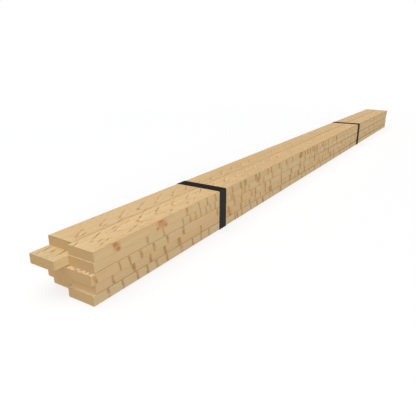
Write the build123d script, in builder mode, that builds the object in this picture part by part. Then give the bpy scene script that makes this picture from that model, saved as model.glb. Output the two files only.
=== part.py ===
from build123d import *
import os

# A bundle of plain square-edge pine boards for door architraves, stacked in two columns of five
# and held by two flat straps. X runs along the boards from the near end to the far end, Y from
# the front column to the back column, and Z up. The origin is on the floor, under the middle.

# One board: its face has pencil-rounded arrises, and its back has arrises that are barely eased
board_length = 2200.0
board_width = 58.0
board_thickness = 18.0
face_arris = 2.0
back_arris = 0.6

# How far each board's near end lies beyond the end line of the bundle, from the top row down.
# A board with a minus sign sticks out of the near end.
front_shifts = (0.0, -1.5, -9.5, -1.5, -8.0)
back_shifts = (9.0, -30.0, -3.0, 0.0, 9.0)

# The straps: flat bands drawn tight round the bundle, each placed by the middle of its width
strap_width = 28.0
strap_thickness = 1.0
strap_clearance = 0.1
near_strap_from_end = 385.0
far_strap_from_end = 1578.0

# Sizes that follow from these
rows = len(front_shifts)
bundle_width = 2 * board_width
bundle_height = rows * board_thickness
bundle_floor = strap_thickness + strap_clearance
shifts = front_shifts + back_shifts
end_line = -(min(shifts) + max(shifts) + board_length) / 2


def faces_up(row):
    # The boards are packed face to face and back to back, with a face on top of the bundle
    return row % 2 == 0


def upper_arris(row):
    return face_arris if faces_up(row) else back_arris


def lower_arris(row):
    return back_arris if faces_up(row) else face_arris


def board(label, row, column_middle, shift):
    row_middle = bundle_floor + bundle_height - (row + 0.5) * board_thickness
    with BuildPart() as piece:
        with BuildSketch(Plane.YZ.offset(end_line + shift)) as section:
            with Locations((column_middle, row_middle)):
                Rectangle(board_width, board_thickness)
            fillet(section.vertices().group_by(Axis.Y)[0], lower_arris(row))
            fillet(section.vertices().group_by(Axis.Y)[-1], upper_arris(row))
        extrude(amount=board_length)
    piece.part.label = label
    export_step(piece.part, f"parts/{label}.step")


def band_outline(margin):
    # The outline of the stacked boards, grown by the margin, with its corners round the outer arrises
    with BuildSketch() as outline:
        with Locations((0, bundle_floor + bundle_height / 2)):
            Rectangle(bundle_width + 2 * margin, bundle_height + 2 * margin)
        fillet(outline.vertices().group_by(Axis.Y)[0], lower_arris(rows - 1) + margin)
        fillet(outline.vertices().group_by(Axis.Y)[-1], upper_arris(0) + margin)
    return outline.sketch


def strap(label, from_end):
    outside = band_outline(strap_clearance + strap_thickness)
    inside = band_outline(strap_clearance)
    with BuildPart() as piece:
        with BuildSketch(Plane.YZ.offset(end_line + from_end - strap_width / 2)):
            add(outside)
            add(inside, mode=Mode.SUBTRACT)
        extrude(amount=strap_width)
    piece.part.label = label
    export_step(piece.part, f"parts/{label}.step")


os.makedirs("parts", exist_ok=True)

for row in range(rows):
    board(f"front_board_{row + 1}", row, -board_width / 2, front_shifts[row])
    board(f"back_board_{row + 1}", row, board_width / 2, back_shifts[row])

strap("near_strap", near_strap_from_end)
strap("far_strap", far_strap_from_end)
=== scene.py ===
import math

import bpy
from mathutils import Matrix, Vector


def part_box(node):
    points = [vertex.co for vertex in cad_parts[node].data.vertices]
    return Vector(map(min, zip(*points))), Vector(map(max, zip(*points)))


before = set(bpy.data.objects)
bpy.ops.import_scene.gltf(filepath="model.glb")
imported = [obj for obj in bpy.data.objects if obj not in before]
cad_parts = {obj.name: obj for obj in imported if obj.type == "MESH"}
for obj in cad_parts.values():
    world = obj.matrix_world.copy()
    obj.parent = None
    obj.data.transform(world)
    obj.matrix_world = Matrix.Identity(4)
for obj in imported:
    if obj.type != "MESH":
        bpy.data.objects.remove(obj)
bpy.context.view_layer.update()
print("frame loaded:", len(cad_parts), "nodes")

mm = 0.001


class Wire:
    # a socket to do sums with: each operator adds one Math node
    def __init__(self, socket):
        self.socket = socket

    def math(self, operation, *terms):
        made = self.socket.id_data.nodes.new("ShaderNodeMath")
        made.operation = operation
        for slot, term in zip(made.inputs, terms):
            feed(slot, term)
        return Wire(made.outputs[0])

    def __add__(self, other):
        return self.math("ADD", self, other)

    def __radd__(self, other):
        return self.math("ADD", other, self)

    def __sub__(self, other):
        return self.math("SUBTRACT", self, other)

    def __rsub__(self, other):
        return self.math("SUBTRACT", other, self)

    def __mul__(self, other):
        return self.math("MULTIPLY", self, other)

    def __rmul__(self, other):
        return self.math("MULTIPLY", other, self)

    def __truediv__(self, other):
        return self.math("DIVIDE", self, other)

    def __rtruediv__(self, other):
        return self.math("DIVIDE", other, self)

    def __abs__(self):
        return self.math("ABSOLUTE", self)

    def most(self, other):
        return self.math("MAXIMUM", self, other)

    def root(self):
        return self.math("SQRT", self)

    def sine(self):
        return self.math("SINE", self)

    def fraction(self):
        return self.math("FRACT", self)

    def whole(self):
        return self.math("ROUND", self)


def feed(slot, value):
    if isinstance(value, Wire):
        slot.id_data.links.new(value.socket, slot)
    else:
        slot.default_value = value


class Finish:
    # the node tree of one material, or of the world
    def __init__(self, owner):
        owner.use_nodes = True
        self.owner = owner
        self.tree = owner.node_tree
        self.tree.nodes.clear()

    def node(self, kind, settings, sockets, out=0):
        made = self.tree.nodes.new("ShaderNode" + kind)
        for key, value in settings.items():
            setattr(made, key, value)
        for key, value in sockets.items():
            feed(made.inputs[key], value)
        return Wire(made.outputs[out]) if len(made.outputs) else None

    def eased(self, value, start, stop):  # 0 at start, 1 at stop
        ease = {"interpolation_type": "SMOOTHSTEP"}
        return self.node("MapRange", ease, {"Value": value, "From Min": start, "From Max": stop})

    def parts(self, vector):
        return [self.node("SeparateXYZ", {}, {"Vector": vector}, axis) for axis in "XYZ"]

    def noise(self, x, y, z, detail=2.0):
        place = self.node("CombineXYZ", {}, {"X": x, "Y": y, "Z": z})
        return self.node("TexNoise", {}, {"Vector": place, "Scale": 1.0, "Detail": detail})

    def figure(self, spot, size, shift, detail=2.0):
        # noise whose clumps are about as large as the size, moved on by a seed
        place = [part / span + move for part, span, move in zip(spot, size, shift)]
        return self.noise(*place, detail)

    def scattered(self, run, looseness):
        # points about 1 apart along the run: how far the nearest is, and two draws that it keeps
        line = {"voronoi_dimensions": "1D"}
        sockets = {"W": run, "Scale": 1.0, "Randomness": looseness}
        colour = self.node("TexVoronoi", line, sockets, "Color")
        gap = self.node("TexVoronoi", line, sockets, "Distance")
        return gap, *[self.node("SeparateColor", {}, {"Color": colour}, draw) for draw in (0, 1)]

    def mixed(self, share, first, second):
        return self.node("Mix", {"data_type": "RGBA"}, {0: share, 6: first, 7: second}, 2)

    def tinted(self, colour, tint):
        multiply = {"data_type": "RGBA", "blend_type": "MULTIPLY"}
        return self.node("Mix", multiply, {0: 1.0, 6: colour, 7: tint}, 2)


def shade(red, green, blue):
    # a colour written as it shows on screen, in 0 to 255
    def linear(part):
        part = part / 255
        return part / 12.92 if part <= 0.04045 else ((part + 0.055) / 1.055) ** 2.4

    return (linear(red), linear(green), linear(blue), 1.0)


# Pine: one recipe for the ten boards. Lengths are in millimetres.

pine = {
    "pale": shade(222, 191, 143),
    "light": shade(234, 206, 160),
    "deep": shade(196, 157, 107),
    # painted shade: the tone that the wood darkens to farther from the near end, where the light falls off
    "falloffShade": shade(185, 156, 109),
    "warm": shade(233, 183, 128),
    # painted light: the pale tone of the faces near the ends, against the shade and bounce light on the
    # ledges
    "faceEndLight": shade(226, 205, 167),
    "mark": shade(164, 115, 60),
    "redMark": shade(178, 117, 64),
    "farMark": shade(160, 116, 44),
    "knot": shade(207, 153, 103),
    "knotHeart": shade(182, 132, 83),
    "endGrain": shade(181, 151, 108),
    "endRing": shade(158, 127, 86),
    # painted shade on the arrises: the sides' shade on the rounded arrises and the shadow in the joints
    "arrisShade": shade(158, 126, 86),
    # the size of each kind of figure: along the board, across it and up
    "streak": (380, 5, 5),
    "fibre": (40, 0.7, 0.7),
    "cloud": (38, 13, 11),
    "patch": (75, 13, 13),
    "ragged": (12, 5, 6),
    "fleck": (16, 4, 4),
    "tick": (45, 2.2, 2.2),
    "pore": (20, 1.1, 1.1),
    # the arched lines on a face
    "archSpacing": 52,
    "archSlope": 2.2,  # how far a line runs on for each millimetre that it goes aside
    "archTip": 4,
    "archWander": 12,
    "archFade": (28, 10),  # no line is left at the first distance aside, and all of it at the second
    "strokeLean": 0.22,
    "dashLean": 0.25,
    "knotLean": 0.3,
    # the rings on an end
    "ringSpacing": 3.4,
    "heartDepth": 46,  # from the middle of a board to the heart of the tree
    # distances from the near end line over which the wood's marks, its painted shade and its painted light
    # change
    "marksGrow": (300, 1100),
    "ticksStart": (160, 500),
    # facesDeepen and edgesDeepen: painted shade farther from the near end, where the light falls off
    "facesDeepen": (150, 650),
    "edgesDeepen": (350, 450),
    # arrisesDarken: painted shade on the arrises and in the joints, stronger farther from the near end
    "arrisesDarken": (500, 1700),
    "scatterStarts": (380, 420),
    # painted light on the faces near the ends reaches this far
    "endLightReach": (14, 4),  # and from either end of a board
    "roughness": 0.68,
    "gloss": 0.15,
    "reliefDepth": 0.25,
}

# What each board has of its own. Its seed places its grain, and its tint colours it. endLightLevel scales
# the colour of its ends, painted light on the ends that lie in the shade of the recesses and a little painted
# shade on others. faceEndLight, deepens and arris say how pale its faces turn near its ends, as painted light
# against the shade on the ledges, how much painted shade darkens it farther from the near end, where the
# light falls off, and how dark the painted shade on its arrises and in its joints is. Its arches lie along a
# line across from its middle. A stroke across its narrow edge is its distance from the near end line and its
# width.
# A knot there, or the dark heart of one, is its distance, half width, height from the middle and half height.
# A dash on a face is its distance, its place across from the middle, half length and half width.
boards = {
    "front_board_1": {
        "seed": 1.3, "tint": (1.0, 1.0, 1.0), "endLightLevel": 0.99, "faceUp": 1,
        "faceEndLight": 0.25, "deepens": 0.42, "arris": 0.35,
        "archLine": 2, "archStart": 31, "strokeDepth": 0.66, "strokeSpacing": 38,
        "strokes": ((246, 7), (290, 4), (320, 5), (354, 5), (428, 5), (493, 11), (646, 8), (750, 9),
                    (868, 30), (905, 8), (930, 8), (955, 8), (976, 7), (997, 8), (1018, 8), (1085, 10),
                    (1245, 12)),
        "knots": ((50, 9, 0, 13), (167, 16, 1, 10), (563, 12, -6, 7)),
        "hearts": ((48, 6, 5, 4), (51.5, 6, -5, 3.5), (166, 10, 7, 3.5), (152, 5, -5, 3.5), (178, 4, -5, 3),
                   (565, 7, -7, 4)),
        "dashes": ((8, 18, 8, 1.4), (55, 18, 10, 1.5), (92, 17, 9, 1.6), (126, 18, 9, 1.5), (30, -16, 8, 1.5),
                   (38, -4, 8, 1.6), (48, -11, 8, 1.5), (97, -16, 9, 1.6), (114, -11, 11, 1.5),
                   (216, -13, 7, 2.4), (272, -12, 7, 2)),
    },
    "front_board_2": {
        "seed": 4.1, "tint": (0.955, 0.975, 0.98), "endLightLevel": 0.96, "faceUp": -1,
        "faceEndLight": 0.7, "deepens": 0.0, "arris": 0.08,
        "archLine": -6, "archStart": 12, "strokeDepth": 0.46, "strokeSpacing": 42,
        "strokes": ((125, 7), (171, 6), (233, 5), (257, 5), (277, 7), (295, 5), (316, 5), (333, 4), (353, 5),
                    (425, 5), (477, 6), (599, 7), (654, 7), (715, 6), (867, 8), (908, 8), (950, 8), (1000, 8),
                    (1025, 8), (1100, 9), (1250, 10)),
        "knots": ((434, 6, 0, 9), (565, 11, 7, 6)),
        "hearts": ((566, 6, 8, 3),),
        "dashes": (),
    },
    "front_board_3": {
        "seed": 7.7, "tint": (0.945, 0.94, 0.94), "endLightLevel": 1.03, "faceUp": 1,
        "faceEndLight": 0.75, "deepens": 0.0, "arris": 0.08,
        "archLine": 4, "archStart": 40, "strokeDepth": 0.65, "strokeSpacing": 44,
        "strokes": ((53, 4), (77, 4), (106, 6), (142, 6), (182, 6), (233, 7), (362, 6), (476, 6), (552, 7),
                    (610, 8), (717, 6), (795, 8), (870, 9), (1000, 9), (1152, 10)),
        "knots": ((-1, 4.5, -1, 10), (410, 7, -5, 7), (1318, 18, 6, 6)),
        "hearts": ((0, 2, -4, 4), (411, 4, -7, 4), (1318, 9, 6, 3)),
        "dashes": ((-2.5, 13, 4, 2.2), (-2.5, -1, 4, 2.2), (-2.5, -12, 4, 2.2), (-2.5, -21, 4, 2)),
    },
    "front_board_4": {
        "seed": 11.9, "tint": (0.92, 0.90, 0.895), "endLightLevel": 1.08, "faceUp": -1,
        "faceEndLight": 0.7, "deepens": 0.0, "arris": 0.25,
        "archLine": -3, "archStart": 22, "strokeDepth": 0.71, "strokeSpacing": 40,
        "strokes": ((36, 5), (86, 8), (130, 6), (173, 6), (219, 9), (296, 4), (473, 7), (519, 7), (553, 5),
                    (581, 4), (640, 11), (721, 7), (790, 7), (855, 9), (908, 8), (1185, 10)),
        "knots": ((416, 12, 1, 10), (1055, 9, -2, 8)),
        "hearts": ((412, 6, 5, 4), (419, 8, -5, 4), (1055, 5, -2, 4)),
        "dashes": (),
    },
    "front_board_5": {
        "seed": 15.2, "tint": (0.905, 0.945, 1.02), "endLightLevel": 1.04, "faceUp": 1,
        "faceEndLight": 0.95, "deepens": 0.0, "arris": 0.25,
        "archLine": 8, "archStart": 5, "strokeDepth": 0.68, "strokeSpacing": 37,
        "strokes": ((25, 5), (58, 5), (94, 5), (121, 5), (148, 6), (179, 6), (226, 8), (265, 5), (296, 5),
                    (327, 5), (456, 7), (528, 6), (563, 6), (597, 6), (718, 8)),
        "knots": (), "hearts": (), "dashes": (),
    },
    "back_board_1": {
        "seed": 21.4, "tint": (0.94, 0.94, 0.935), "endLightLevel": 0.93, "faceUp": 1,
        "faceEndLight": 0.25, "deepens": 0.3, "arris": 0.35,
        "archLine": -17, "archStart": 30, "strokeDepth": 0.6, "strokeSpacing": 36,
        "strokes": (),
        "knots": ((310, 9, 2, 9), (905, 12, -2, 8)),
        "hearts": ((310, 5, 3, 5), (906, 6, -3, 4)),
        "dashes": ((43, -19, 9, 1.6), (91, -19, 9, 1.5), (122, -26, 10, 1.5), (192, -26, 9, 1.5)),
    },
    "back_board_2": {
        "seed": 26.5, "tint": (0.91, 0.96, 0.985), "endLightLevel": 1.02, "faceUp": -1,
        "faceEndLight": 0.25, "deepens": 0.15, "arris": 0.15,
        "archLine": 5, "archStart": 14, "strokeDepth": 0.55, "strokeSpacing": 40,
        "strokes": (),
        "knots": ((640, 10, 3, 9),),
        "hearts": ((641, 5, 3, 5),),
        "dashes": ((4, -13, 16, 2.2), (-5, 18, 11, 2), (-4, 3, 8, 2.6)),
    },
    "back_board_3": {
        "seed": 30.6, "tint": (0.955, 0.95, 0.95), "endLightLevel": 1.1, "faceUp": 1,
        "faceEndLight": 0.5, "deepens": 0.0, "arris": 0.15,
        "archLine": -4, "archStart": 27, "strokeDepth": 0.6, "strokeSpacing": 41,
        "strokes": (),
        "knots": ((180, 8, -3, 8), (1240, 13, 2, 9)),
        "hearts": ((180, 4, -3, 4), (1241, 7, 3, 4)),
        "dashes": (),
    },
    "back_board_4": {
        "seed": 34.3, "tint": (0.96, 0.96, 0.97), "endLightLevel": 1.14, "faceUp": -1,
        "faceEndLight": 0.5, "deepens": 0.12, "arris": 0.2,
        "archLine": 10, "archStart": 44, "strokeDepth": 0.55, "strokeSpacing": 39,
        "strokes": (),
        "knots": ((1530, 9, 4, 8),),
        "hearts": ((1530, 5, 4, 4),),
        "dashes": (),
    },
    "back_board_5": {
        "seed": 39.9, "tint": (0.93, 0.925, 0.92), "endLightLevel": 1.15, "faceUp": 1,
        "faceEndLight": 0.5, "deepens": 0.0, "arris": 0.2,
        "archLine": -8, "archStart": 9, "strokeDepth": 0.6, "strokeSpacing": 43,
        "strokes": (),
        "knots": ((760, 11, -1, 9), (1810, 8, 2, 8)),
        "hearts": ((761, 6, -2, 5), (1810, 4, 2, 4)),
        "dashes": (),
    },
}
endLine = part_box("front_board_1")[0].x


def archMarks(work, board, along, across, cloud, ragged):
    # broken V lines on a wide face, with the tips towards the near end, a pale band behind each
    # line, and fainter lines between them
    seed = board["seed"]
    wander = (work.noise(along / 160 + seed, 0.0, 0.0, 1.0) - 0.5) * pine["archWander"]
    off = across - board["archLine"] - wander
    tip = pine["archTip"]
    lag = ((off * off + tip * tip).root() - tip) * pine["archSlope"]
    phase = (along - lag - board["archStart"]) / pine["archSpacing"] + (cloud - 0.5) * 0.3
    strength = work.node("TexWhiteNoise", {"noise_dimensions": "1D"}, {"W": phase.whole() + seed})
    part = phase.fraction()
    reach = (0.5 + work.eased(off, -4.0, 2.0) * 0.5) * work.eased(abs(off), *pine["archFade"])
    dashes = work.eased(ragged, 0.40, 0.54) * (0.5 + strength * 0.5)
    line = work.eased(abs(part - 0.5), 0.37, 0.47) * reach * dashes
    band = work.eased(part, 0.05, 0.12) * work.eased(part, 0.32, 0.14) * reach
    fine = work.eased((phase * (2 * math.pi * 5)).sine(), 0.0, 1.0)
    return line, band, fine


def edgeStrokes(work, board, along, up, ragged):
    # soft strokes across a narrow edge, leaning a little: the board's own, and scattered ones
    seed = board["seed"]
    wobble = (work.noise(along / 25, up / 8, seed) - 0.5) * 7
    run = along + up * pine["strokeLean"] + wobble
    spacing = board["strokeSpacing"]
    gap, width, strength = work.scattered(run / spacing + seed, 0.85)
    stroke = work.eased(gap * spacing / (width * 4 + 3), 1.3, 0.1) * work.eased(strength, 0.1, 0.8)
    if board["strokes"]:
        stroke = stroke * work.eased(along, *pine["scatterStarts"])
    for place, wide in board["strokes"]:
        stroke = stroke.most(work.eased(abs(run - place), wide * 0.9, wide * 0.15))
    uneven = work.noise(along / 16 + seed, up / 11, 0.0)
    return stroke * work.eased(uneven, 0.18, 0.55) * (0.7 + ragged * 0.6)


def faceDashes(work, board, along, across, ragged):
    dash = 0.0
    for place, middle, halfLength, halfWidth in board["dashes"]:
        reach = along - place
        aside = (across - middle - reach * pine["dashLean"]) / halfWidth
        reach = reach / halfLength
        dash = work.eased((reach * reach + aside * aside).root(), 1.4, 0.3).most(dash)
    return dash * (0.5 + ragged)


def edgeSpots(work, board, along, up, spots):
    flame = (work.noise(along / 5 + board["seed"], up / 14, 0.0) - 0.5) * 1.1
    share = 0.0
    for place, halfWidth, height, halfHeight in spots:
        reach = (along + up * pine["knotLean"] - place) / halfWidth
        rise = (up - height) / halfHeight
        share = work.eased((reach * reach + rise * rise).root() + flame, 1.3, 0.35).most(share)
    return share


def endColour(work, board, across, up, cloud, pores):
    # shallow ring arcs and pores
    aside = across - board["archLine"]
    below = up * board["faceUp"] + pine["heartDepth"]
    ring = ((aside * aside + below * below).root() / pine["ringSpacing"] + cloud * 0.8).fraction()
    share = work.eased(ring, 0.25, 1.0) * 0.3 + (pores - 0.5) * 0.3
    # painted light and shade: a factor per board that evens out the light on the ends, lighter where they lie
    # in recesses
    tone = board["endLightLevel"]
    return work.tinted(work.mixed(share, pine["endGrain"], pine["endRing"]), (tone, tone, tone, 1.0))


def pineFinish(name, board):
    low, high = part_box(name)
    middle = (low + high) / 2
    seed = board["seed"]
    work = Finish(bpy.data.materials.new("pine_" + name))

    x, y, z = work.parts(work.node("TexCoord", {}, {}, "Object"))
    along = (x - endLine) / mm
    across = (y - middle.y) / mm
    up = (z - middle.z) / mm
    fromEnd = (high.x - middle.x - abs(x - middle.x)) / mm
    facing = [abs(part) for part in work.parts(work.node("TexCoord", {}, {}, "Normal"))]
    onEnd = work.eased(facing[0], 0.5, 0.8)
    onFace = work.eased(facing[2], 0.45, 0.85)
    onEdge = (1 - onFace) * (1 - onEnd)
    onArris = work.eased(facing[1] * facing[2], 0.05, 0.3)
    farther = work.eased(along, *pine["marksGrow"])

    spot = (along, across, up)
    streak = work.figure(spot, pine["streak"], (seed, 0, 0), 3.0)
    fibre = work.figure(spot, pine["fibre"], (0, seed, 0))
    cloud = work.figure(spot, pine["cloud"], (seed, 0, 0))
    patch = work.figure(spot, pine["patch"], (0, seed, seed), 1.0)
    ragged = work.figure(spot, pine["ragged"], (0, seed, 0))
    pores = work.figure(spot, pine["pore"], (0, 0, seed))
    fleck = work.eased(work.figure(spot, pine["fleck"], (0, 0, seed * 2), 1.0), 0.62, 0.74)
    tick = work.eased(work.figure(spot, pine["tick"], (0, 0, seed * 3), 1.0), 0.56, 0.7)
    tick = tick * work.eased(along, *pine["ticksStart"])

    line, band, fine = archMarks(work, board, along, across, cloud, ragged)
    dash = faceDashes(work, board, along, across, ragged)
    line = line.most(fleck * 0.6).most(tick * 0.6).most(dash) * onFace
    stroke = edgeStrokes(work, board, along, up, ragged) * onEdge

    # the plain wood, each share of a tone laid over the last
    # painted shade: faces and edges darken farther from the near end, where the light falls off along the
    # bundle
    facesDeepen = work.eased(along, *pine["facesDeepen"]) * onFace
    edgesDeepen = work.eased(along, *pine["edgesDeepen"]) * onEdge * 0.58
    layers = (
        ("deep", work.eased(streak, 0.46, 0.76) * (0.18 + onFace * 0.25)),
        ("light", work.eased(streak, 0.46, 0.26) * (0.2 + onFace * 0.2)),
        ("falloffShade", (facesDeepen + edgesDeepen) * board["deepens"]),
        ("deep", fine * onFace * 0.10 + (fibre - 0.5) * 0.16),
        ("warm", work.eased(patch, 0.5, 0.76) * (0.45 + onFace * 0.2)),
        ("deep", work.eased(cloud, 0.5, 0.8) * 0.22),
        ("light", work.eased(cloud, 0.5, 0.28) * onEdge * farther * 0.4),
        ("light", band * onFace * 0.35),
    )
    colour = pine["pale"]
    for tone, share in layers:
        colour = work.mixed(share, colour, pine[tone])
    colour = work.tinted(colour, (*board["tint"], 1.0))

    # strokes, lines and knots
    markColour = work.mixed(work.eased(patch, 0.42, 0.6) * onEdge, pine["mark"], pine["redMark"])
    markColour = work.mixed(farther * onEdge * 0.6, markColour, pine["farMark"])
    strokeShare = stroke * (board["strokeDepth"] * (1 + farther * 0.25))
    colour = work.mixed(strokeShare.most(line * (0.74 - farther * 0.2)), colour, markColour)
    if board["knots"]:
        knot = edgeSpots(work, board, along, up, board["knots"])
        heart = edgeSpots(work, board, along, up, board["hearts"])
        colour = work.mixed(knot * onEdge * 0.9, colour, pine["knot"])
        colour = work.mixed(heart * onEdge * 0.75, colour, pine["knotHeart"])

    # paler face ends, painted light against the shade and bounce light on the ledges; sawn ends; and painted
    # shade on the arrises, for the shade of the sides on the rounded arrises and the shadow in the joints
    # between boards
    faceEndLightShare = work.eased(fromEnd, *pine["endLightReach"]) * onFace * (1 - line) * board["faceEndLight"]
    colour = work.mixed(faceEndLightShare, colour, pine["faceEndLight"])
    colour = work.mixed(onEnd, colour, endColour(work, board, across, up, cloud, pores))
    # painted shade on the arrises on each board's faceUp side, and on all arrises farther from the near end
    onFaceSide = work.eased(up * board["faceUp"], 0.0, 3.0)
    arrisShade = onFaceSide * board["arris"] + work.eased(along, *pine["arrisesDarken"]) * 0.65
    colour = work.mixed(onArris * arrisShade, colour, pine["arrisShade"])

    height = fibre * 0.5 + streak * 0.4 + pores * onEnd * 0.8 - stroke.most(line) * 0.2
    relief = {"Strength": 0.3, "Distance": pine["reliefDepth"] * mm, "Height": height}
    surface = work.node("BsdfPrincipled", {}, {
        "Base Color": colour,
        "Roughness": pine["roughness"] + fibre * 0.12 + onEnd * 0.1,
        "Specular IOR Level": pine["gloss"],
        "Normal": work.node("Bump", {}, relief),
    })
    work.node("OutputMaterial", {}, {"Surface": surface})
    return work.owner


def dress(name, material):
    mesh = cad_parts[name].data
    mesh.materials.clear()
    mesh.materials.append(material)


for name, board in boards.items():
    dress(name, pineFinish(name, board))
print("boards finished:", len(boards))


# Straps: matte black strapping with a fine diamond emboss, rubbed edges, and painted light
# that makes their upright parts lighter than their tops

strapping = {
    "black": shade(45, 42, 40),
    # the tone of worn patches and rubbed edges, and of painted light on the upright parts
    "wornAndLit": shade(82, 80, 78),
    "wear": (11, 16, 16),  # the size of a worn patch: across the band, and two ways round it
    "embossPitch": 2.2,
    "embossDepth": 0.15,
    "roughness": 0.6,
}


def strapFinish(name):
    low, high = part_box(name)
    middle = (low + high) / 2
    halfWidth = (high.x - low.x) / 2 / mm
    work = Finish(bpy.data.materials.new("strapping_" + name))

    x, y, z = [part / mm for part in work.parts(work.node("TexCoord", {}, {}, "Object"))]
    offLine = x - middle.x / mm
    facing = work.parts(work.node("TexCoord", {}, {}, "Normal"))
    onFlat = work.eased(abs(facing[2]), 0.5, 0.8)
    run = y * onFlat + z * (1 - onFlat)
    turn = 2 * math.pi / strapping["embossPitch"]
    emboss = ((offLine + run) * turn).sine() * ((offLine - run) * turn).sine()

    wear = work.figure((offLine, y, z), strapping["wear"], (0, 0, 0), 3.0)
    edge = work.eased(abs(offLine) / halfWidth, 0.8, 1.0)
    # worn patches and rubbed edges, and painted light on the upright parts of the strap
    wornAndLit = work.eased(wear, 0.5, 0.8) * (0.15 + 0.4 * edge) + (1 - onFlat) * 0.3
    relief = {"Strength": 0.3, "Distance": strapping["embossDepth"] * mm, "Height": emboss}
    surface = work.node("BsdfPrincipled", {}, {
        "Base Color": work.mixed(wornAndLit, strapping["black"], strapping["wornAndLit"]),
        "Roughness": strapping["roughness"] + wornAndLit * 0.2,
        "Specular IOR Level": 0.0,
        "Normal": work.node("Bump", {}, relief),
    })
    work.node("OutputMaterial", {}, {"Surface": surface})
    return work.owner


for name in ("near_strap", "far_strap"):
    dress(name, strapFinish(name))
print("straps finished")


# Floor, light and camera

studio = {
    "floorSize": 60.0,
    "white": (1, 1, 1, 1),
    "floorSeen": (0.99, 0.995, 1, 1),  # the floor's colour to the camera
    "floorBounce": (0.3, 0.3, 0.3, 1.0),  # and to the light that it throws back on the bundle
    "shadowShare": 0.3,  # how much of the floor's shading the camera sees beside the bundle
    "shadowReach": (1.3, 2.6),  # metres from the middle, over which the floor turns to plain white
    "sky": 0.2,
    "litPoint": (-1.1, -0.05, 0.05),
    "lamps": {
        # where each shines from, how far off it is (0 for a sun), its strength and its width in degrees
        "key": ((-0.22, 0.06, 1.0), 0, 1.93, 70),
        "fill": ((-0.74, -0.59, 0.22), 22, 2.71, 24),
        "back": ((0.1, 1.0, 0.09), 22, 0.95, 10),
        "far": ((1.0, -0.02, 0.05), 22, 0.55, 5),
    },
}


def seenDirectly(work):
    # 1 for what the camera sees, also in a gloss or through glass
    camera, gloss, glass = [
        work.node("LightPath", {}, {}, f"Is {kind} Ray") for kind in ("Camera", "Glossy", "Transmission")
    ]
    return camera.most(gloss).most(glass)


def layFloor():
    side = studio["floorSize"] / 2
    mesh = bpy.data.meshes.new("floor")
    corners = [(-side, -side, 0), (side, -side, 0), (side, side, 0), (-side, side, 0)]
    mesh.from_pydata(corners, [], [(0, 1, 2, 3)])
    floor = bpy.data.objects.new("floor", mesh)
    bpy.context.scene.collection.objects.link(floor)
    work = Finish(bpy.data.materials.new("pale_floor"))
    x, y, z = work.parts(work.node("TexCoord", {}, {}, "Object"))
    beyond = work.eased((x * x + y * y).root(), *studio["shadowReach"])
    direct = seenDirectly(work)
    plain = direct * (1 - studio["shadowShare"] * (1 - beyond))
    colour = work.mixed(direct, studio["floorBounce"], studio["floorSeen"])
    matt = work.node("BsdfDiffuse", {}, {"Color": colour})
    white = work.node("Emission", {}, {"Color": studio["white"], "Strength": 1.0})
    work.node("OutputMaterial", {}, {"Surface": work.node("MixShader", {}, {0: plain, 1: matt, 2: white})})
    mesh.materials.append(work.owner)


def lightStudio():
    world = bpy.data.worlds.new("studio")
    bpy.context.scene.world = world
    work = Finish(world)
    direct = seenDirectly(work)
    strength = direct + (1 - direct) * studio["sky"]
    sky = work.node("Background", {}, {"Color": studio["white"], "Strength": strength})
    work.node("OutputWorld", {}, {"Surface": sky})
    for name, (shinesFrom, distance, strength, width) in studio["lamps"].items():
        away = Vector(shinesFrom).normalized()
        lamp = bpy.data.lights.new(name, "AREA" if distance else "SUN")
        if distance:
            lamp.shape = "DISK"
            lamp.size = 2 * distance * math.tan(math.radians(width) / 2)
            lamp.energy = strength * math.pi * distance**2
        else:
            lamp.angle = math.radians(width)
            lamp.energy = strength
        shining = bpy.data.objects.new(name, lamp)
        shining.location = Vector(studio["litPoint"]) + away * distance
        shining.rotation_euler = (-away).to_track_quat("-Z", "Y").to_euler()
        bpy.context.scene.collection.objects.link(shining)


view = {
    "place": (-1.4897, -0.518, 0.3681),
    "yaw": 32.45,  # from +X towards +Y, in degrees
    "pitch": 19.36,  # below level
    "lens": 36.86,
    "sensor": 36.0,
}


def aimCamera():
    yaw = math.radians(view["yaw"])
    pitch = math.radians(view["pitch"])
    ahead = Vector((math.cos(yaw) * math.cos(pitch), math.sin(yaw) * math.cos(pitch), -math.sin(pitch)))
    right = Vector((math.sin(yaw), -math.cos(yaw), 0))
    upward = right.cross(ahead)
    lens = bpy.data.cameras.new("camera")
    lens.sensor_width = view["sensor"]
    lens.lens = view["lens"]
    camera = bpy.data.objects.new("camera", lens)
    turn = Matrix((right, upward, -ahead)).transposed().to_4x4()
    camera.matrix_world = Matrix.Translation(view["place"]) @ turn
    bpy.context.scene.collection.objects.link(camera)
    bpy.context.scene.camera = camera


layFloor()
lightStudio()
aimCamera()
bpy.context.scene.view_settings.view_transform = "Standard"
print("studio set")
